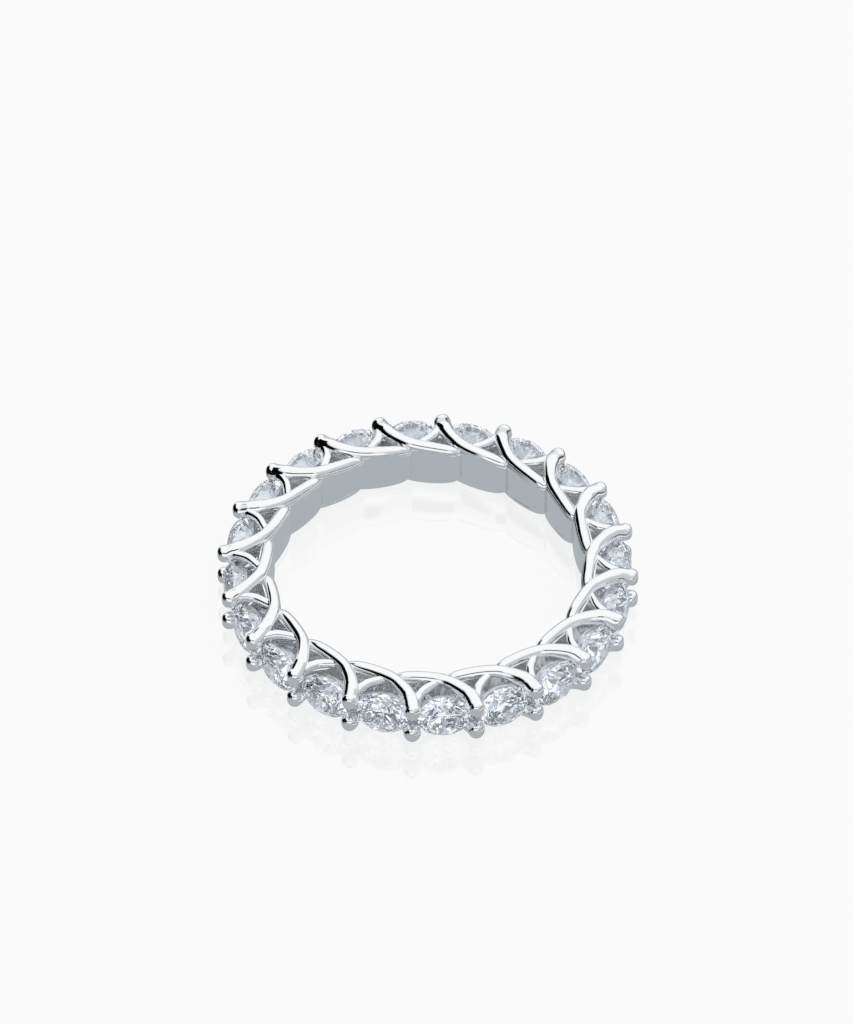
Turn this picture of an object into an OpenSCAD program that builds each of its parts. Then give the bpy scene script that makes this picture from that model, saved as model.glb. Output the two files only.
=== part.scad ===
// Eternity ring with twenty round brilliants in shared prongs.
// The ring lies on its side: the finger axis is Z, the bottom of the metal is at z = 0.
// Every prong ends in a rounded tip and splits into two wires. The long wire sweeps
// clockwise and inwards over the next prong's short wire and ends on the inner rim.
// Upper and lower halves are mirror images about the middle plane.

/* [Ring] */
// Smallest width of the finger hole
finger_hole_d = 16.8; // [15.6:0.1:18.2]
// Depth from the finger hole out to the circle through the middles of the tips
ring_depth = 2.6; // [2.5:0.02:2.8]
// Height of the wires beyond the edges of the stones
edge_cover = 0.06; // [0.04:0.01:0.1]

/* [Wires] */
// Diameter of the rounded prong tips
tip_d = 1.0; // [0.92:0.02:1.06]
// Height of the tip middles above the middle plane as a share of a stone's radius
tip_rise_share = 0.637; // [0.62:0.005:0.67]
// Diameter of the long wires
long_wire_d = 0.7; // [0.64:0.02:0.76]
// Diameter of the short wires
short_wire_d = 0.6; // [0.52:0.02:0.66]
// Angle a long wire sweeps round the ring, in degrees
long_wire_angle = 25.5; // [24:0.5:27]
// Angle a short wire sweeps the other way, in degrees
short_wire_angle = 7.5; // [6.5:0.5:8.5]

/* [Inner wall] */
// Height of the wall round the finger
wall_h = 1.9; // [1.84:0.02:2]
// Gap between the points of the stones and the wall
culet_gap = 0.15; // [0.1:0.01:0.25]

/* [Stones] */
// Gap between the edges of neighbouring stones
stone_gap = 0.44; // [0.4:0.02:0.6]
// Distance of the girdle from the tip circle, towards the finger
girdle_drop = 0.37; // [0.32:0.01:0.44]
// Width of the table as a share of the stone diameter
table_share = 0.57; // [0.52:0.01:0.62]
// Angle of the crown mains
crown_angle = 34.5; // [32:0.5:36]
// Angle of the pavilion mains
pavilion_angle = 40.75; // [40:0.25:41.5]
// Thickness of the girdle
girdle_t = 0.06; // [0.04:0.01:0.08]

/* [Hidden] */
stones = 20;
pitch = 360 / stones;
hole_r = finger_hole_d / 2;
tip_r = hole_r + ring_depth;
girdle_at = tip_r - girdle_drop;
girdle_r = girdle_at * tan(pitch / 2) - stone_gap / 2 / cos(pitch / 2);
pavilion_h = girdle_r * tan(pavilion_angle);
crown_h = girdle_r * (1 - table_share) * tan(crown_angle);
ring_h = 2 * (girdle_r + edge_cover);
mid_z = ring_h / 2;
tip_rise = tip_rise_share * girdle_r;
crest_rise = mid_z - long_wire_d / 2;
rim_r = hole_r + 0.45 * long_wire_d;
wall_r = girdle_at - girdle_t / 2 - pavilion_h - culet_gap;
long_sides = 8;
short_sides = 6;

// Rounded tip of a prong, from its outer end inwards.
// Columns: distance from the tip middle and radius, both as shares of the tip radius.
tip_table = [
    [0.98, 0.28],
    [0.62, 0.80],
    [0.00, 1.00],
];

// Long wire. Columns: share of the sweep, share of the way from the tip circle to the rim,
// share of the way up from the tips to the crest, diameter as a share of long_wire_d.
long_table = [
    [0.03, 0.17, 0.45, 0.97],
    [0.14, 0.55, 0.92, 1.00],
    [0.32, 0.84, 1.00, 1.00],
    [0.62, 0.98, 0.78, 0.97],
    [1.00, 0.95, 0.00, 0.55],
];

// Short wire. Columns as for the long wire, diameter as a share of short_wire_d.
short_table = [
    [0.05, 0.20, 0.30, 1.00],
    [1.00, 0.86, 0.65, 0.90],
];

// Inner face of the wall between two seams. Columns: share of the pitch after the seam
// and distance behind the finger hole as a share of the long wire diameter.
scallop_table = [
    [0.02, 0.62],
    [0.35, 0.12],
    [0.75, 0.04],
];
seam_at = long_wire_angle - pitch;

// Point at a clockwise angle from +Y, a distance from the axis and a height
function spot(a, r, z) = [r * sin(a), r * cos(a), z];

// Path point of a wire row; turn is 1 for the long wire and -1 for the short one
function wire_spot(row, sweep, turn) = spot(
    turn * sweep * row[0],
    tip_r - row[1] * (tip_r - rim_r),
    tip_rise + row[2] * (crest_rise - tip_rise));

function unit(v) = v / norm(v);

// Corners of one section across a path
function section(p, dir, r, sides) =
    let (across = unit(cross(dir, [0, 0, 1])), up = cross(across, dir))
    [for (i = [0:sides - 1])
        let (t = 90 + 360 * i / sides) p + r * (cos(t) * across + sin(t) * up)];

// Closed round bar through the given middles with the given radii
module bar(mids, radii, sides) {
    n = len(mids);
    dirs = [for (i = [0:n - 1]) unit(mids[min(i + 1, n - 1)] - mids[max(i - 1, 0)])];
    corners = [for (i = [0:n - 1]) each section(mids[i], dirs[i], radii[i], sides)];
    skin = [for (i = [0:n - 2], j = [0:sides - 1])
        let (k = (j + 1) % sides, a = i * sides, b = a + sides)
        each [[a + j, b + k, b + j], [a + j, a + k, b + k]]];
    first = [for (j = [sides - 1:-1:0]) j];
    last = [for (j = [0:sides - 1]) (n - 1) * sides + j];
    polyhedron(points = corners, faces = concat(skin, [first, last]));
}

// Prong tip and its long wire
module long_wire() {
    tip_mids = [for (row = tip_table) spot(0, tip_r + row[0] * tip_d / 2, tip_rise)];
    tip_radii = [for (row = tip_table) row[1] * tip_d / 2];
    bar(
        concat(tip_mids, [for (row = long_table) wire_spot(row, long_wire_angle, 1)]),
        concat(tip_radii, [for (row = long_table) row[3] * long_wire_d / 2]),
        long_sides);
}

// Short wire from the prong to the neighbour's long wire
module short_wire() {
    hull()
        bar(
            [for (row = short_table) wire_spot(row, short_wire_angle, -1)],
            [for (row = short_table) row[3] * short_wire_d / 2],
            short_sides);
}

// Wall round the finger with a shallow scallop from seam to seam
module wall() {
    inner = [for (i = [0:stones - 1], row = scallop_table)
        let (a = pitch * i + seam_at + row[0] * pitch, r = hole_r + row[1] * long_wire_d)
        [r * sin(a), r * cos(a)]];
    translate([0, 0, -wall_h / 2])
        linear_extrude(wall_h)
            difference() {
                circle(r = wall_r, $fn = 3 * stones);
                polygon(inner);
            }
}

// Turns a shape built along +Z to point outwards between prongs i and i + 1
module outwards(i) {
    rotate([0, 0, -pitch * (i + 0.5)])
        rotate([-90, 0, 0])
            children();
}

// Round brilliant with its axis on +Z and the middle of its girdle at z = 0
module brilliant() {
    table_r = table_share * girdle_r;
    star_r = 0.77 * girdle_r;
    star_z = (girdle_r - star_r * cos(22.5)) * tan(crown_angle);
    half_r = 0.24 * girdle_r;
    half_z = half_r * cos(22.5) * tan(pavilion_angle);
    top = girdle_t / 2;
    points = concat(
        [for (i = [0:7]) [table_r * cos(45 * i), table_r * sin(45 * i), top + crown_h]],
        [for (i = [0:7]) [star_r * cos(45 * i + 22.5), star_r * sin(45 * i + 22.5), top + star_z]],
        [for (i = [0:15]) [girdle_r * cos(22.5 * i), girdle_r * sin(22.5 * i), top]],
        [for (i = [0:15]) [girdle_r * cos(22.5 * i), girdle_r * sin(22.5 * i), -top]],
        [for (i = [0:7]) [half_r * cos(45 * i + 22.5), half_r * sin(45 * i + 22.5),
            half_z - top - pavilion_h]],
        [[0, 0, -top - pavilion_h]]);
    star = 8;
    upper = 16;
    lower = 32;
    half = 48;
    culet = 56;
    faces = concat(
        [[for (i = [7:-1:0]) i]],
        [for (i = [0:7]) [i, (i + 1) % 8, star + i]],
        [for (i = [0:7]) [i, star + i, upper + 2 * i, star + (i + 7) % 8]],
        [for (i = [0:7]) [star + i, upper + 2 * i + 1, upper + 2 * i]],
        [for (i = [0:7]) [star + i, upper + (2 * i + 2) % 16, upper + 2 * i + 1]],
        [for (i = [0:15]) [upper + i, upper + (i + 1) % 16, lower + (i + 1) % 16, lower + i]],
        [for (i = [0:7]) [half + i, lower + 2 * i, lower + 2 * i + 1]],
        [for (i = [0:7]) [half + i, lower + 2 * i + 1, lower + (2 * i + 2) % 16]],
        [for (i = [0:7]) [culet, half + (i + 7) % 8, lower + 2 * i, half + i]]);
    polyhedron(points = points, faces = faces);
}

module setting() {
    color("#d9dadc")
        translate([0, 0, mid_z])
            union() {
                wall();
                for (i = [0:stones - 1])
                    rotate([0, 0, -pitch * i])
                        for (side = [0, 1])
                            mirror([0, 0, side]) {
                                long_wire();
                                short_wire();
                            }
            }
}

// Stone i lies between prongs i and i + 1, counted clockwise from +Y
module stone(i) {
    color("#e8eef4")
        translate([0, 0, mid_z])
            outwards(i)
                translate([0, 0, girdle_at])
                    brilliant();
}

setting();
stone(0);  // stone_01
stone(1);  // stone_02
stone(2);  // stone_03
stone(3);  // stone_04
stone(4);  // stone_05
stone(5);  // stone_06
stone(6);  // stone_07
stone(7);  // stone_08
stone(8);  // stone_09
stone(9);  // stone_10
stone(10);  // stone_11
stone(11);  // stone_12
stone(12);  // stone_13
stone(13);  // stone_14
stone(14);  // stone_15
stone(15);  // stone_16
stone(16);  // stone_17
stone(17);  // stone_18
stone(18);  // stone_19
stone(19);  // stone_20
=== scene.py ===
"""Eternity ring: the polished setting with its crossing wires, and the cut stones, lying on a pale floor."""

import math

import bmesh
import bpy
from bpy.props import FloatProperty, IntProperty, PointerProperty, StringProperty
from mathutils import Matrix, Vector


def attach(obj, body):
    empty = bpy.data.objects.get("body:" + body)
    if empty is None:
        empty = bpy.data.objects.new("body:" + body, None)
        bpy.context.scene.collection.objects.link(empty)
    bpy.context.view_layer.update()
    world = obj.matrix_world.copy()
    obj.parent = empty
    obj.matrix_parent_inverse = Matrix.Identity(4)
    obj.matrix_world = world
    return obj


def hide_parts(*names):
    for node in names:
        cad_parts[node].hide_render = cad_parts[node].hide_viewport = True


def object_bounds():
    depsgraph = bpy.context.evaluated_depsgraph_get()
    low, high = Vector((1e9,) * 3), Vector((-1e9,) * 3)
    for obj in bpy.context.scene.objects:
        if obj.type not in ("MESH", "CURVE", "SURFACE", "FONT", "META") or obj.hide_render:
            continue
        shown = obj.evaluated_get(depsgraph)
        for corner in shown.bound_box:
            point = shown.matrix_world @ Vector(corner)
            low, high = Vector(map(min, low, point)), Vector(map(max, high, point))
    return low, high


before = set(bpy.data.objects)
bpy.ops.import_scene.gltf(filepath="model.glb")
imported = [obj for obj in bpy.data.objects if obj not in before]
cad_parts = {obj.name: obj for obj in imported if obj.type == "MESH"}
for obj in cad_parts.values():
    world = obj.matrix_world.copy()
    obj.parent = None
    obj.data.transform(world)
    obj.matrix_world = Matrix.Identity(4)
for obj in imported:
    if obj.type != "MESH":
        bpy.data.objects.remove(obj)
CAD_LOW, CAD_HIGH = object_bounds()

bl_info = {
    "name": "Eternity Ring",
    "version": (1, 0, 0),
    "blender": (4, 5, 0),
    "location": "3D View > Sidebar > Ring",
    "description": "Builds an eternity ring with crossing prong wires and round stones",
    "category": "Add Mesh",
}

MM = 0.001

# Stones round the ring, the angle from one to the next in radians, and their nodes.
STONES = 20
PITCH = 2 * math.pi / STONES
STONE_NODES = [f"stone_{n:02d}" for n in range(1, STONES + 1)]

# Long wire of one prong. Columns: sweep in degrees, share of the way from the tip circle to
# the rim circle, height of the middle as a share of half the ring's height, and thickness as
# a share of the wire's thickness.
LONG_WIRE = [
    (0.00, 0.000, 0.547, 1.357),
    (0.08, 0.022, 0.553, 1.360),
    (0.20, 0.057, 0.573, 1.350),
    (0.40, 0.129, 0.618, 1.315),
    (0.65, 0.205, 0.663, 1.295),
    (1.10, 0.288, 0.701, 1.270),
    (2.00, 0.417, 0.721, 1.205),
    (3.85, 0.592, 0.743, 1.110),
    (7.00, 0.797, 0.760, 1.020),
    (11.00, 0.916, 0.750, 1.000),
    (16.00, 0.978, 0.723, 0.991),
    (21.00, 0.988, 0.664, 0.951),
    (24.00, 0.963, 0.598, 0.771),
    (25.50, 0.919, 0.552, 0.514),
]

# Short wire of one prong. Columns as for the long wire, swept the other way.
SHORT_WIRE = [
    (0.0, 0.060, 0.600, 1.00),
    (0.8, 0.217, 0.650, 1.00),
    (1.6, 0.394, 0.680, 1.00),
    (2.8, 0.552, 0.695, 1.00),
    (5.0, 0.701, 0.692, 0.95),
    (7.6, 0.840, 0.680, 0.90),
]

# The rim circle lies this share of a long wire's thickness behind the finger hole.
RIM_INSET = 0.45

# A wire that ends in a point keeps this share of its thickness there.
POINT = 0.02

# Exponent of a tip's outline: a ball, and the squarer tip of a wire that is turned down.
BALL = 2.0
TURNED_DOWN = 3.2

# A short wire is thinner than a long one and has this many sides less.
SPARED_SIDES = 8

# Inner wall over one pitch and half a degree more, so that neighbours meet. Columns: degrees
# clockwise from a prong, how far the inner face stands behind the finger hole as a share of a
# long wire's thickness, and half the wall's height as a share of half the ring's height.
WALL = [
    (7.2, 0.46, 0.71),
    (9.0, 0.31, 0.74),
    (11.0, 0.20, 0.75),
    (13.5, 0.09, 0.74),
    (16.0, 0.02, 0.72),
    (18.5, 0.00, 0.70),
    (21.0, 0.01, 0.665),
    (23.5, 0.09, 0.625),
    (25.7, 0.28, 0.60),
]

# Upper half of the wall's section, seen along the ring. Columns: depth as a share of the wall's
# thickness, and height as a share of half the wall's height.
WALL_SECTION = [
    (0.0, 0.0),
    (0.0, 0.90),
    (0.02, 0.95),
    (0.06, 0.985),
    (0.14, 1.0),
    (1.0, 1.0),
    (1.0, 0.0),
]

# Seat behind a stone: a cone that follows the back of the stone from near its girdle to the
# wall, fuller towards the prongs than up and down. Columns: degrees round the stone's axis from
# the ring's direction, and thickness as a share of the stone's radius.
SEAT = [
    (0, 0.34),
    (25, 0.26),
    (50, 0.14),
    (90, 0.08),
]

# Room between seat and stone, how far behind the girdle the seat may start, and the narrowest
# radius that it may have, as shares of the stone's radius.
SEAT_ROOM, SEAT_START, SEAT_NARROWEST = 0.07, 0.14, 0.1

# The seat ends in the wall, this share of the wall's thickness deep.
SEAT_END = 0.5

# Two planes at 45 degrees meet this far in front of the girdles. The seat stays behind both, so
# the wires hide its edge.
SEAT_PLANES = 0.02 * MM

# The seat stays this far away from the plane halfway between two stones.
SEAT_GAP = 0.002 * MM

SEAT_TURNS, SEAT_STEPS = 48, 8

# Tangent of the angle between a brilliant's girdle and its back.
PAVILION_SLOPE = math.tan(math.radians(40.75))

# Edges sharper than this stay crisp, in degrees.
WALL_CREASE, SEAT_CREASE = 50, 40

# Half the floor's side, in metres.
FLOOR_HALF = 3.0

# The camera stands this many degrees above the floor and round from -Y, and is rolled a little.
CAMERA_RISE, CAMERA_TURN, CAMERA_ROLL = 45.4, 3.878, 0.52
CAMERA_DISTANCE = 611.6 * MM

# Focal length and width of the camera's frame, in millimetres.
LENS, FILM = 394.9, 36.0

# What the lens points at, in millimetres to the right of and above the ring's middle. The
# middle then stands 1.1 pixels right of and 64.2 below the middle of the picture.
AIM_RIGHT, AIM_UP = -0.09, 3.49

# Brightness of the studio that the metal mirrors, and of the tent that the stones show.
STUDIO_LIGHT, TENT_LIGHT = 1.06, 1.44

# Studio round the ring, by elevation. Columns: elevation in degrees and sRGB colour.
STUDIO = [
    (-90, "#ACB1B4"),
    (-6, "#AFB4B7"),
    (6, "#C4C7C9"),
    (42, "#CDD0D2"),
    (60, "#FFFFFF"),
    (90, "#FFFFFF"),
]

# Cards that hang in the studio. Columns: what it is, degrees round to the right of the
# camera's side, half its width, lower and upper edge in degrees above the floor, and sRGB colour.
CARDS = [
    ("white back wall", 172, 66, 14, 62, "#FFFFFF"),
    ("low back wall", 180, 50, -6, 14, "#E2E4E6"),
    ("white strip under the lens", -6, 30, 2, 36, "#FFFFFF"),
    ("lens shade", -8, 26, 40, 53, "#1C1E20"),
    ("edge of the table", 82, 52, -14, 2, "#606365"),
    ("edge of the table behind", 142, 32, -9, 1, "#4E5154"),
    ("paper on the table", 82, 52, -26, -14, "#F4F5F6"),
    ("black card at the left", -92, 50, -6, 43, "#060707"),
    ("low black card at the left", -107, 35, -32, -4, "#0B0C0C"),
]

# What is seen through the stones, by elevation: the white tent close round them is brighter
# than what the metal mirrors. Columns as for the studio.
TENT = [
    (-90, "#BFC5CA"),
    (-36, "#C4CACF"),
    (-22, "#DFE2E6"),
    (0, "#F0F2F4"),
    (90, "#F0F2F4"),
]

# Gels and flags inside the tent, which give the facets their colours. Columns as for the cards.
GELS = [
    ("white front of the tent", 0, 60, -16, 64, "#FFFFFF"),
    ("grey floor before the ring", 0, 48, -92, -28, "#A2A9B1"),
    ("grey flag over the lens", 0, 30, 28, 60, "#5F656E"),
    ("dark flag at the left of the lens", -34, 10, -6, 28, "#2A2C30"),
    ("dark flag under the lens", -6, 9, -6, 24, "#303338"),
    ("dark flag at the right of the lens", 21, 10, -6, 28, "#2A2C30"),
    ("blue gel", 38, 14, 6, 30, "#B5C5E2"),
    ("grey flag at the left", -58, 16, 0, 26, "#7F858D"),
    ("violet gel", 6, 8, -28, -12, "#B9AEEC"),
    ("grey flag at the right", 84, 8, 0, 24, "#6C6E72"),
]

# The sides of a card fade over this many degrees each way, and its upper and lower edges.
SIDE_FADE, EDGE_FADE = 3, 2

# Light runs to and fro in a brilliant many times before it comes out again. These are the most
# times that it may bounce in all, and off or through clear and polished surfaces.
ALL_BOUNCES, CLEAR_BOUNCES = 24, 16


def linear(hex_colour, alpha=1.0):
    """sRGB hex to the linear colour that a shader socket takes."""
    parts = [int(hex_colour.lstrip("#")[i:i + 2], 16) / 255 for i in (0, 2, 4)]
    return tuple(c / 12.92 if c <= 0.04045 else ((c + 0.055) / 1.055) ** 2.4 for c in parts) + (alpha,)


def add_node(tree, kind, settings=None, links=None):
    """Adds a node. settings names its properties and input values, links what feeds each input."""
    node = tree.nodes.new(kind)
    for key, value in (settings or {}).items():
        if isinstance(key, str) and hasattr(node, key):
            setattr(node, key, value)
        else:
            node.inputs[key].default_value = value
    for key, source in (links or {}).items():
        tree.links.new(source, node.inputs[key])
    return node


def fresh_tree(material):
    """Clears a material's tree and returns it with its output node."""
    material.use_nodes = True
    tree = material.node_tree
    tree.nodes.clear()
    return tree, add_node(tree, "ShaderNodeOutputMaterial")


def link_object(name, data):
    """New object for the data, in the scene and at the origin."""
    obj = bpy.data.objects.new(name, data)
    bpy.context.collection.objects.link(obj)
    return obj


def white_gold(finish="mirror polished", dullest=0.09):
    """Rhodium-plated 18 carat white gold. Polished to a mirror it shows the studio almost
    unchanged, with faint polishing waves; in the seats, where no wheel reaches, it is satin."""
    name = f"white gold, rhodium plated, {finish}"
    material = bpy.data.materials.get(name)
    if material:
        return material
    material = bpy.data.materials.new(name)
    tree, out = fresh_tree(material)
    colours = bpy.context.scene.ring_colours
    place = add_node(tree, "ShaderNodeTexCoord")
    # Polishing leaves waves about a millimetre long and less than a thousandth of that deep.
    waves = add_node(tree, "ShaderNodeTexNoise", {"Scale": 0.9 / MM, "Detail": 2.0, "Roughness": 0.4},
                     {"Vector": place.outputs["Object"]})
    bump = add_node(tree, "ShaderNodeBump", {"Strength": 0.05, "Distance": 0.02 * MM},
                    {"Height": waves.outputs["Fac"]})
    # Handling dulls the plating slightly, in patches about four millimetres wide.
    patches = add_node(tree, "ShaderNodeTexNoise", {"Scale": 0.26 / MM, "Detail": 3.0},
                       {"Vector": place.outputs["Object"]})
    dull = add_node(tree, "ShaderNodeMapRange", {"To Min": dullest / 3, "To Max": dullest},
                    {"Value": patches.outputs["Fac"]})
    metal = add_node(tree, "ShaderNodeBsdfPrincipled",
                     {"Base Color": linear(colours.metal), "Metallic": 1.0},
                     {"Roughness": dull.outputs["Result"], "Normal": bump.outputs["Normal"]})
    tree.links.new(metal.outputs["BSDF"], out.inputs["Surface"])
    return material


def diamond():
    """Brilliant-cut diamond: clear, with flat polished facets and the high refraction that
    sends most light back out through the table. Its trace of roughness softens the smallest
    sparks to what the lens resolves."""
    name = "diamond, brilliant cut"
    material = bpy.data.materials.get(name)
    if material:
        return material
    material = bpy.data.materials.new(name)
    tree, out = fresh_tree(material)
    colours = bpy.context.scene.ring_colours
    stone = add_node(tree, "ShaderNodeBsdfPrincipled",
                     {"Base Color": linear(colours.stone), "Roughness": 0.03, "IOR": 2.417,
                      "Transmission Weight": 1.0})
    tree.links.new(stone.outputs["BSDF"], out.inputs["Surface"])
    return material


def floor_sheet():
    """Pale acrylic sheet: lit through from below, so it is even and bright, with only a little
    shade and a faint reflection of what lies on it."""
    material = bpy.data.materials.new("acrylic sheet, satin")
    tree, out = fresh_tree(material)
    colours = bpy.context.scene.ring_colours
    glow = add_node(tree, "ShaderNodeEmission", {"Color": linear(colours.floor), "Strength": 1.005})
    shade = add_node(tree, "ShaderNodeBsdfDiffuse", {"Color": linear(colours.floor)})
    body = add_node(tree, "ShaderNodeMixShader", {0: 0.05}, {1: glow.outputs[0], 2: shade.outputs[0]})
    gloss = add_node(tree, "ShaderNodeBsdfGlossy", {"Color": (1, 1, 1, 1), "Roughness": 0.03})
    mix = add_node(tree, "ShaderNodeMixShader", {0: 0.09}, {1: body.outputs[0], 2: gloss.outputs[0]})
    tree.links.new(mix.outputs[0], out.inputs["Surface"])
    return material


class RingSizes(bpy.types.PropertyGroup):
    """Sizes of the ring, in metres. The height follows the frame."""
    tip_circle: FloatProperty(name="Tip circle", description="Radius of the circle through the tips",
                              default=11.005 * MM, unit="LENGTH", precision=5)
    finger_hole: FloatProperty(name="Finger hole", description="Radius of the finger hole",
                               default=8.4 * MM, unit="LENGTH", precision=5)
    height: FloatProperty(name="Height", description="Height of the ring lying on its side",
                          default=CAD_HIGH.z - CAD_LOW.z, unit="LENGTH", precision=5)
    long_wire: FloatProperty(name="Long wire", description="Thickness of a long wire",
                             default=0.7 * MM, unit="LENGTH", precision=5)
    short_wire: FloatProperty(name="Short wire", description="Thickness of a short wire",
                              default=0.52 * MM, unit="LENGTH", precision=5)
    wall: FloatProperty(name="Wall", description="Thickness of the inner wall",
                        default=0.75 * MM, unit="LENGTH", precision=5)
    girdle: FloatProperty(name="Girdle", description="Distance of the girdles from the finger axis",
                          default=10.6 * MM, unit="LENGTH", precision=5)
    stone: FloatProperty(name="Stone", description="Radius of a stone",
                         default=1.46 * MM, unit="LENGTH", precision=5)
    sides: IntProperty(name="Sides", description="Sides of a long wire's section", default=24, min=12, max=32)


class RingColours(bpy.types.PropertyGroup):
    """Colours of the ring and its floor, as sRGB hex."""
    metal: StringProperty(name="Metal", description="Reflection colour of the white gold", default="#F2F3F4")
    stone: StringProperty(name="Stone", description="Body colour of the stones", default="#FCFDFF")
    floor: StringProperty(name="Floor", description="Colour of the floor", default="#FAFAFA")


def middle_height():
    """Height of the ring's middle above the frame's origin."""
    return CAD_LOW.z + bpy.context.scene.ring_sizes.height / 2


def smooth_rows(rows, steps):
    """Rows on a smooth curve through the given ones, with the first column as its parameter."""
    def slope(i, c):
        a, b = max(i - 1, 0), min(i + 1, len(rows) - 1)
        return (rows[b][c] - rows[a][c]) / (rows[b][0] - rows[a][0])

    out = []
    for i in range(len(rows) - 1):
        gap = rows[i + 1][0] - rows[i][0]
        for k in range(steps):
            t = k / steps
            row = [rows[i][0] + t * gap]
            for c in range(1, len(rows[0])):
                row.append((2 * t**3 - 3 * t**2 + 1) * rows[i][c]
                           + (t**3 - 2 * t**2 + t) * gap * slope(i, c)
                           + (3 * t**2 - 2 * t**3) * rows[i + 1][c]
                           + (t**3 - t**2) * gap * slope(i + 1, c))
            out.append(row)
    return out + [list(rows[-1])]


def ring_point(degrees, radius, height):
    """Point at a clockwise angle from +Y, at a distance from the finger axis."""
    a = math.radians(degrees)
    return Vector((radius * math.sin(a), radius * math.cos(a), height))


def wire_stations(rows, thickness, turn, steps=5):
    """Middles and radii along a wire; turn is 1 clockwise and -1 the other way."""
    sizes = bpy.context.scene.ring_sizes
    rim = sizes.finger_hole + RIM_INSET * sizes.long_wire
    stations = []
    for degrees, share, rise, thick in smooth_rows(rows, steps):
        out = sizes.tip_circle - share * (sizes.tip_circle - rim)
        middle = ring_point(turn * degrees, out, rise * sizes.height / 2)
        stations.append((middle, thick * thickness / 2))
    return stations


def round_start(stations, steps=16):
    """Stations of a rounded tip before the wire's first one, out along the spoke."""
    first, radius = stations[0]
    out = Vector((first.x, first.y, 0)).normalized()
    return [(first + out * radius * math.cos(math.pi / 2 * k / steps),
             radius * max(math.sin(math.pi / 2 * k / steps), POINT)) for k in range(steps)] + stations


def round_end(stations, steps=5):
    """Rounds the last station off to a point."""
    (before, _), (last, radius) = stations[-2:]
    ahead = (last - before).normalized()
    return stations + [(last + ahead * radius * math.sin(math.pi / 2 * k / steps),
                        radius * max(math.cos(math.pi / 2 * k / steps), POINT))
                       for k in range(1, steps + 1)]


def path_object(name, stations):
    """Poly curve through the stations, with the wire's radius on each point."""
    curve = bpy.data.curves.new(name, "CURVE")
    curve.dimensions = "3D"
    spline = curve.splines.new("POLY")
    spline.points.add(len(stations) - 1)
    for point, (middle, radius) in zip(spline.points, stations):
        point.co = (*middle, 1)
        point.radius = radius
    return link_object(name, curve)


def join_rings(work, rings, closed):
    """Faces from each ring of corners to the next. A closed row of rings ends where it began,
    and an open one gets a face over each end."""
    following = rings[1:] + rings[:1] if closed else rings[1:]
    for a, b in zip(rings, following):
        for k in range(len(a)):
            after = (k + 1) % len(a)
            work.faces.new((a[k], a[after], b[after], b[k]))
    if not closed:
        work.faces.new(rings[0])
        work.faces.new(rings[-1])


def part_object(name, work):
    """Turns the finished work into an object with smooth shading."""
    mesh = bpy.data.meshes.new(name)
    work.to_mesh(mesh)
    work.free()
    mesh.shade_smooth()
    return link_object(name, mesh)


# Inputs that every tree has beside its geometry.
REPEAT_INPUTS = [
    ("Copies", "NodeSocketInt"),
    ("Middle Height", "NodeSocketFloat"),
    ("Material", "NodeSocketMaterial"),
]


def new_tree(name, inputs):
    """Geometry tree with a geometry in and out and the named inputs."""
    tree = bpy.data.node_groups.new(name, "GeometryNodeTree")
    tree.interface.new_socket("Geometry", in_out="INPUT", socket_type="NodeSocketGeometry")
    tree.interface.new_socket("Geometry", in_out="OUTPUT", socket_type="NodeSocketGeometry")
    for label, kind in inputs:
        tree.interface.new_socket(label, in_out="INPUT", socket_type=kind)
    return tree, add_node(tree, "NodeGroupInput"), add_node(tree, "NodeGroupOutput")


def spread(tree, given, geometry):
    """Sets copies of the geometry evenly round the finger axis and lifts them to mid height."""
    spots = add_node(tree, "GeometryNodeMeshLine", {"Offset": (0, 0, 0)}, {"Count": given.outputs["Copies"]})
    index = add_node(tree, "GeometryNodeInputIndex")
    turn = add_node(tree, "ShaderNodeMath", {"operation": "DIVIDE", 0: -2 * math.pi},
                    {1: given.outputs["Copies"]})
    angle = add_node(tree, "ShaderNodeMath", {"operation": "MULTIPLY"},
                     {0: turn.outputs[0], 1: index.outputs[0]})
    euler = add_node(tree, "ShaderNodeCombineXYZ", None, {"Z": angle.outputs[0]})
    copies = add_node(tree, "GeometryNodeInstanceOnPoints", None,
                      {"Points": spots.outputs[0], "Instance": geometry, "Rotation": euler.outputs[0]})
    real = add_node(tree, "GeometryNodeRealizeInstances", None, {0: copies.outputs[0]})
    lift = add_node(tree, "ShaderNodeCombineXYZ", None, {"Z": given.outputs["Middle Height"]})
    raised = add_node(tree, "GeometryNodeTransform", None,
                      {"Geometry": real.outputs[0], "Translation": lift.outputs[0]})
    painted = add_node(tree, "GeometryNodeSetMaterial", None,
                       {"Geometry": raised.outputs[0], "Material": given.outputs["Material"]})
    return painted.outputs[0]


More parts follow.
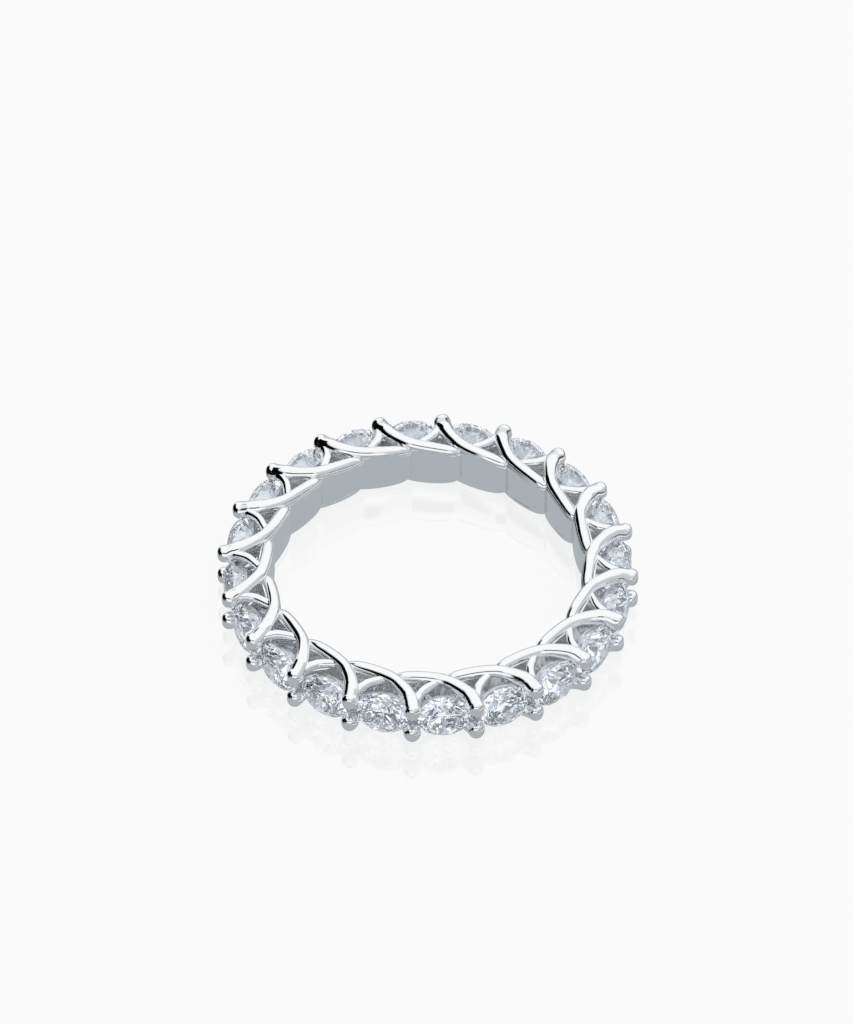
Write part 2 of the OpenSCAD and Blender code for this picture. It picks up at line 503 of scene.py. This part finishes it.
def fill_tip(tree, given, geometry):
    """Squares the outer half of the tip, like a wire turned down over the edge of the stones.
    The fullness is the exponent of the tip's outline."""
    place = add_node(tree, "GeometryNodeInputPosition")
    off_middle = add_node(tree, "ShaderNodeVectorMath", {"operation": "SUBTRACT"},
                          {0: place.outputs[0], 1: given.outputs["Tip Middle"]})
    axes = add_node(tree, "ShaderNodeSeparateXYZ", None, {0: off_middle.outputs[0]})
    known = {"y": axes.outputs["Y"], "z": axes.outputs["Z"], "fullness": given.outputs["Tip Fullness"]}
    # Sums in millimetres. Columns: result, operation, and its inputs, which are numbers or
    # earlier results. Each shape measures how far a point is from the tip's middle, and a point
    # moves out by as much as the full tip's measure falls short of the ball's.
    sums = [
        ("along", "DIVIDE", "y", MM),
        ("out", "MAXIMUM", "along", 0.0),
        ("up", "DIVIDE", "z", MM),
        ("height", "ABSOLUTE", "up"),
    ]
    for shape, exponent in (("ball", BALL), ("full", "fullness")):
        sums += [
            (f"{shape} out", "POWER", "out", exponent),
            (f"{shape} height", "POWER", "height", exponent),
            (f"{shape} sum", "ADD", f"{shape} out", f"{shape} height"),
            (f"{shape} root", "DIVIDE", 1.0, exponent),
            (f"{shape} distance", "POWER", f"{shape} sum", f"{shape} root"),
            (shape, "MAXIMUM", f"{shape} distance", 0.0001),
        ]
    sums += [
        ("ratio", "DIVIDE", "ball", "full"),
        ("growth", "SUBTRACT", "ratio", 1.0),
        ("share", "MAXIMUM", "growth", 0.0),
        ("metres", "MULTIPLY", "share", MM),
        ("push out", "MULTIPLY", "out", "metres"),
        ("push up", "MULTIPLY", "up", "metres"),
    ]
    for result, operation, *inputs in sums:
        numbers = {i: value for i, value in enumerate(inputs) if not isinstance(value, str)}
        links = {i: known[value] for i, value in enumerate(inputs) if isinstance(value, str)}
        node = add_node(tree, "ShaderNodeMath", {"operation": operation, **numbers}, links)
        known[result] = node.outputs[0]
    push = add_node(tree, "ShaderNodeCombineXYZ", None, {"Y": known["push out"], "Z": known["push up"]})
    moved = add_node(tree, "GeometryNodeSetPosition", None, {"Geometry": geometry, "Offset": push.outputs[0]})
    return moved.outputs[0]


def wire_tree():
    """Sweeps a round section along the path, mirrors it below and repeats it round the ring."""
    tree, given, out = new_tree("wires round the ring", [
        ("Sides", "NodeSocketInt"),
        ("Tip Middle", "NodeSocketVector"),
        ("Tip Fullness", "NodeSocketFloat"),
        *REPEAT_INPUTS,
    ])
    ring = add_node(tree, "GeometryNodeCurvePrimitiveCircle", {"Radius": 1.0},
                    {"Resolution": given.outputs["Sides"]})
    width = add_node(tree, "GeometryNodeInputRadius")
    bar = add_node(tree, "GeometryNodeCurveToMesh", {"Fill Caps": True},
                   {"Curve": given.outputs["Geometry"], "Profile Curve": ring.outputs[0],
                    "Scale": width.outputs[0]})
    full = fill_tip(tree, given, bar.outputs[0])
    smooth = add_node(tree, "GeometryNodeSetShadeSmooth", None, {0: full})
    below = add_node(tree, "GeometryNodeTransform", {"Scale": (1, 1, -1)}, {"Geometry": smooth.outputs[0]})
    turned = add_node(tree, "GeometryNodeFlipFaces", None, {0: below.outputs[0]})
    both = add_node(tree, "GeometryNodeJoinGeometry", None, {0: smooth.outputs[0]})
    tree.links.new(turned.outputs[0], both.inputs[0])
    tree.links.new(spread(tree, given, both.outputs[0]), out.inputs[0])
    return tree


def part_tree():
    """Repeats a finished part round the ring."""
    tree, given, out = new_tree("parts round the ring", REPEAT_INPUTS)
    tree.links.new(spread(tree, given, given.outputs["Geometry"]), out.inputs[0])
    return tree


def face_outwards(mesh):
    """Recalculates the normals, so that a mirrored half isn't inside out."""
    work = bmesh.new()
    work.from_mesh(mesh)
    bmesh.ops.recalc_face_normals(work, faces=work.faces)
    work.to_mesh(mesh)
    work.free()


def grown(obj, tree, name, material=None, **values):
    """Runs the tree on the object and keeps its result as a plain mesh of the given name. A
    value for an input like Tip Middle is given as tip_middle."""
    values.update(copies=STONES, middle_height=middle_height(), material=material or white_gold())
    modifier = obj.modifiers.new("repeat", "NODES")
    modifier.node_group = tree
    for item in tree.interface.items_tree:
        key = item.name.lower().replace(" ", "_")
        if item.item_type == "SOCKET" and item.in_out == "INPUT" and key in values:
            modifier[item.identifier] = values[key]
    bpy.context.view_layer.update()
    graph = bpy.context.evaluated_depsgraph_get()
    mesh = bpy.data.meshes.new_from_object(obj.evaluated_get(graph), depsgraph=graph)
    if not len(mesh.vertices):
        raise RuntimeError(f"{name} came out empty")
    bpy.data.objects.remove(obj)
    face_outwards(mesh)
    return link_object(name, mesh)


def stand_for_setting(piece):
    """Lets a finished piece of the metal ride on the ring and stand for the frame's setting."""
    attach(piece, "root")
    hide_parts("setting")


class RING_OT_long_wires(bpy.types.Operator):
    """Make the long wires with their rounded tips, on the upper and the lower side"""
    bl_idname = "ring.long_wires"
    bl_label = "Long Wires and Tips"

    def execute(self, context):
        sizes = context.scene.ring_sizes
        stations = wire_stations(LONG_WIRE, sizes.long_wire, 1)
        path = path_object("long_wire_path", round_end(round_start(stations)))
        stand_for_setting(grown(path, wire_tree(), "long_wires", sides=sizes.sides,
                                tip_middle=stations[0][0], tip_fullness=TURNED_DOWN))
        return {"FINISHED"}


class RING_OT_short_wires(bpy.types.Operator):
    """Make the short wires between each prong and the neighbouring long wire"""
    bl_idname = "ring.short_wires"
    bl_label = "Short Wires"

    def execute(self, context):
        sizes = context.scene.ring_sizes
        stations = wire_stations(SHORT_WIRE, sizes.short_wire, -1)
        path = path_object("short_wire_path", stations)
        stand_for_setting(grown(path, wire_tree(), "short_wires", sides=sizes.sides - SPARED_SIDES,
                                tip_middle=stations[0][0], tip_fullness=BALL))
        return {"FINISHED"}


class RING_OT_inner_wall(bpy.types.Operator):
    """Make the scalloped wall round the finger"""
    bl_idname = "ring.inner_wall"
    bl_label = "Inner Wall"

    def execute(self, context):
        sizes = context.scene.ring_sizes
        lower = [(depth, -height) for depth, height in reversed(WALL_SECTION[1:-1])]
        work = bmesh.new()
        rings = []
        for degrees, behind, tall in smooth_rows(WALL, 3):
            inner = sizes.finger_hole + behind * sizes.long_wire
            rings.append([work.verts.new(ring_point(degrees, inner + depth * sizes.wall,
                                                    height * tall * sizes.height / 2))
                          for depth, height in WALL_SECTION[:-1] + lower])
        join_rings(work, rings, closed=False)
        made = grown(part_object("wall_part", work), part_tree(), "inner_wall")
        made.data.set_sharp_from_angle(angle=math.radians(WALL_CREASE))
        stand_for_setting(made)
        return {"FINISHED"}


def seat_thickness(degrees):
    """The seat's thickness at an angle round the stone's axis, as a share of the stone's radius."""
    tilt = min(degrees % 180, 180 - degrees % 180)
    for (a, thick), (b, next_thick) in zip(SEAT, SEAT[1:]):
        if tilt <= b:
            return thick + (next_thick - thick) * (tilt - a) / (b - a)


def seat_row(work, degrees, thickness):
    """Corners from the seat's edge to the wall, at an angle round the stone's axis and at a
    thickness over the hollow in which the stone sits."""
    sizes = bpy.context.scene.ring_sizes
    a = math.radians(degrees)
    up, across = math.sin(a), math.cos(a)
    reach = sizes.stone + SEAT_ROOM * sizes.stone + thickness
    start = max(SEAT_START * sizes.stone,
                (reach * abs(up) - SEAT_PLANES) / (1 + abs(up) / PAVILION_SLOPE))
    end = sizes.girdle - sizes.finger_hole - SEAT_END * sizes.wall
    row = []
    for k in range(SEAT_STEPS + 1):
        back = start + (end - start) * k / SEAT_STEPS
        y = sizes.girdle - back
        halfway = y * math.tan(PITCH / 2) - SEAT_GAP
        radius = max(reach - back / PAVILION_SLOPE, SEAT_NARROWEST * sizes.stone)
        # A row that runs straight up or down never meets that plane, and 1e-6 stands in for no slant.
        radius = min(radius, halfway / max(abs(across), 1e-6))
        row.append(work.verts.new((radius * across, y, radius * up)))
    return row


class RING_OT_seats(bpy.types.Operator):
    """Make the conical seat behind each stone, on the outside of the wall"""
    bl_idname = "ring.seats"
    bl_label = "Seats"

    def execute(self, context):
        stone = context.scene.ring_sizes.stone
        work = bmesh.new()
        hoops = []
        for k in range(SEAT_TURNS):
            degrees = 360 * k / SEAT_TURNS
            inside = seat_row(work, degrees, 0.0)
            outside = seat_row(work, degrees, seat_thickness(degrees) * stone)
            hoops.append(inside + outside[::-1])
        join_rings(work, hoops, closed=True)
        work.transform(Matrix.Rotation(-PITCH / 2, 4, "Z"))
        made = grown(part_object("seat_part", work), part_tree(), "seats",
                     material=white_gold("satin", dullest=0.45))
        made.data.set_sharp_from_angle(angle=math.radians(SEAT_CREASE))
        stand_for_setting(made)
        return {"FINISHED"}


class RING_OT_stones(bpy.types.Operator):
    """Give the cut stones of the frame their diamond"""
    bl_idname = "ring.stones"
    bl_label = "Stones"

    def execute(self, context):
        for name in STONE_NODES:
            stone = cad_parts[name]
            stone.data.materials.clear()
            stone.data.materials.append(diamond())
        return {"FINISHED"}


class RING_OT_stage(bpy.types.Operator):
    """Lay the floor, light the studio and set up the camera"""
    bl_idname = "ring.stage"
    bl_label = "Stage"

    def execute(self, context):
        lay_floor()
        light_studio()
        let_light_bounce()
        set_camera()
        return {"FINISHED"}


def lay_floor():
    """Flat sheet under the ring, level with the lowest point of the frame."""
    corners = [(x * FLOOR_HALF, y * FLOOR_HALF, CAD_LOW.z) for x, y in ((-1, -1), (1, -1), (1, 1), (-1, 1))]
    mesh = bpy.data.meshes.new("floor")
    mesh.from_pydata(corners, [], [(0, 1, 2, 3)])
    mesh.materials.append(floor_sheet())
    floor = link_object("floor", mesh)
    # The ring's own reflections come from the studio below, so the sheet shows to the eye alone.
    floor.visible_glossy = False
    floor.visible_transmission = False


def by_elevation(tree, elevation, rows):
    """Colour by elevation from a table of degrees and sRGB colours."""
    share = add_node(tree, "ShaderNodeMapRange", {"From Min": -math.pi / 2, "From Max": math.pi / 2},
                     {"Value": elevation})
    ramp = add_node(tree, "ShaderNodeValToRGB", None, {0: share.outputs["Result"]})
    stops = ramp.color_ramp.elements
    for i, (degrees, colour) in enumerate(rows):
        position = (degrees + 90) / 180
        # A new ramp has two stops already.
        stop = stops[i] if i < 2 else stops.new(position)
        stop.position = position
        stop.color = linear(colour)
    return ramp.outputs["Color"]


def hang_card(tree, axes, elevation, under, around, half, low, high, colour):
    """Lays one card over the studio's colour so far, with edges a few degrees soft."""
    turn = math.radians(around + CAMERA_TURN)
    along = add_node(tree, "ShaderNodeVectorMath",
                     {"operation": "DOT_PRODUCT", 1: (math.sin(turn), -math.cos(turn), 0)}, {0: axes})
    sides = add_node(tree, "ShaderNodeMapRange",
                     {"interpolation_type": "SMOOTHSTEP",
                      "From Min": math.cos(math.radians(half + SIDE_FADE)),
                      "From Max": math.cos(math.radians(max(half - SIDE_FADE, 0)))},
                     {"Value": along.outputs["Value"]})
    share = sides.outputs["Result"]
    for edge, fade in ((low, EDGE_FADE), (high, -EDGE_FADE)):
        level = add_node(tree, "ShaderNodeMapRange",
                         {"interpolation_type": "SMOOTHSTEP", "From Min": math.radians(edge - fade),
                          "From Max": math.radians(edge + fade)}, {"Value": elevation})
        both = add_node(tree, "ShaderNodeMath", {"operation": "MULTIPLY"},
                        {0: share, 1: level.outputs["Result"]})
        share = both.outputs[0]
    # Inputs 6 and 7 are the colours that a Mix node mixes, and output 2 is the mixed one.
    mix = add_node(tree, "ShaderNodeMix", {"data_type": "RGBA", 7: linear(colour)}, {0: share, 6: under})
    return mix.outputs[2]


def room_light(tree, around, elevation, rows, cards, strength):
    """Light of a room, from its colours by elevation and the cards that hang in it."""
    colour = by_elevation(tree, elevation, rows)
    for _, *card in cards:
        colour = hang_card(tree, around, elevation, colour, *card)
    return add_node(tree, "ShaderNodeBackground", {"Strength": strength}, {"Color": colour}).outputs[0]


def light_studio():
    """The metal mirrors the studio, and what is seen through a stone is the tent."""
    world = bpy.data.worlds.new("studio")
    bpy.context.scene.world = world
    world.use_nodes = True
    tree = world.node_tree
    tree.nodes.clear()
    out = add_node(tree, "ShaderNodeOutputWorld")
    place = add_node(tree, "ShaderNodeTexCoord")
    axes = add_node(tree, "ShaderNodeSeparateXYZ", None, {0: place.outputs["Generated"]})
    elevation = add_node(tree, "ShaderNodeMath", {"operation": "ARCSINE"}, {0: axes.outputs["Z"]})
    flat = add_node(tree, "ShaderNodeVectorMath", {"operation": "MULTIPLY", 1: (1, 1, 0)},
                    {0: place.outputs["Generated"]})
    around = add_node(tree, "ShaderNodeVectorMath", {"operation": "NORMALIZE"}, {0: flat.outputs[0]})
    studio, tent = (room_light(tree, around.outputs[0], elevation.outputs[0], *room)
                    for room in ((STUDIO, CARDS, STUDIO_LIGHT), (TENT, GELS, TENT_LIGHT)))
    path = add_node(tree, "ShaderNodeLightPath")
    inside = add_node(tree, "ShaderNodeMath", {"operation": "GREATER_THAN", 1: 0.5},
                      {0: path.outputs["Transmission Depth"]})
    light = add_node(tree, "ShaderNodeMixShader", None, {0: inside.outputs[0], 1: studio, 2: tent})
    tree.links.new(light.outputs[0], out.inputs["Surface"])


def let_light_bounce():
    """Lets light run on inside the stones until it comes out."""
    cycles = bpy.context.scene.cycles
    cycles.max_bounces = ALL_BOUNCES
    cycles.glossy_bounces = CLEAR_BOUNCES
    cycles.transmission_bounces = CLEAR_BOUNCES


def set_camera():
    """Long lens at the photo's angle, and colours shown as they are."""
    scene = bpy.context.scene
    rise, turn, roll = (math.radians(degrees) for degrees in (CAMERA_RISE, CAMERA_TURN, CAMERA_ROLL))
    centre = Vector((0, 0, middle_height()))
    back = Vector((math.sin(turn) * math.cos(rise), -math.cos(turn) * math.cos(rise), math.sin(rise)))
    right = Vector((math.cos(turn), math.sin(turn), 0))
    up = back.cross(right)
    aim = centre + up * AIM_UP * MM + right * AIM_RIGHT * MM
    camera = bpy.data.cameras.new("camera")
    camera.lens = LENS
    camera.sensor_width = FILM
    camera.clip_start, camera.clip_end = 0.01, 10.0
    eye = link_object("camera", camera)
    eye.location = centre + back * CAMERA_DISTANCE
    turned = (aim - eye.location).to_track_quat("-Z", "Y").to_matrix().to_4x4()
    eye.rotation_euler = (turned @ Matrix.Rotation(roll, 4, "Z")).to_euler()
    scene.camera = eye
    scene.view_settings.view_transform = "Standard"
    scene.view_settings.look = "None"


class RING_PT_panel(bpy.types.Panel):
    """Lists the ring's sizes, colours and pieces"""
    bl_label = "Eternity Ring"
    bl_idname = "RING_PT_panel"
    bl_space_type = "VIEW_3D"
    bl_region_type = "UI"
    bl_category = "Ring"

    def draw(self, context):
        for group in (context.scene.ring_sizes, context.scene.ring_colours):
            box = self.layout.box()
            for key in group.bl_rna.properties.keys():
                if key not in ("rna_type", "name"):
                    box.prop(group, key)
        for operator in OPERATORS:
            self.layout.operator(operator.bl_idname)


OPERATORS = (RING_OT_long_wires, RING_OT_short_wires, RING_OT_inner_wall, RING_OT_seats,
             RING_OT_stones, RING_OT_stage)
CLASSES = (RingSizes, RingColours, *OPERATORS, RING_PT_panel)


def register():
    for cls in CLASSES:
        bpy.utils.register_class(cls)
    bpy.types.Scene.ring_sizes = PointerProperty(type=RingSizes)
    bpy.types.Scene.ring_colours = PointerProperty(type=RingColours)


def unregister():
    del bpy.types.Scene.ring_colours
    del bpy.types.Scene.ring_sizes
    for cls in reversed(CLASSES):
        bpy.utils.unregister_class(cls)


def main():
    """Builds the dressed ring."""
    register()
    bpy.ops.ring.long_wires()
    bpy.ops.ring.short_wires()
    bpy.ops.ring.inner_wall()
    bpy.ops.ring.seats()
    bpy.ops.ring.stones()
    bpy.ops.ring.stage()


if __name__ == "__main__":
    main()
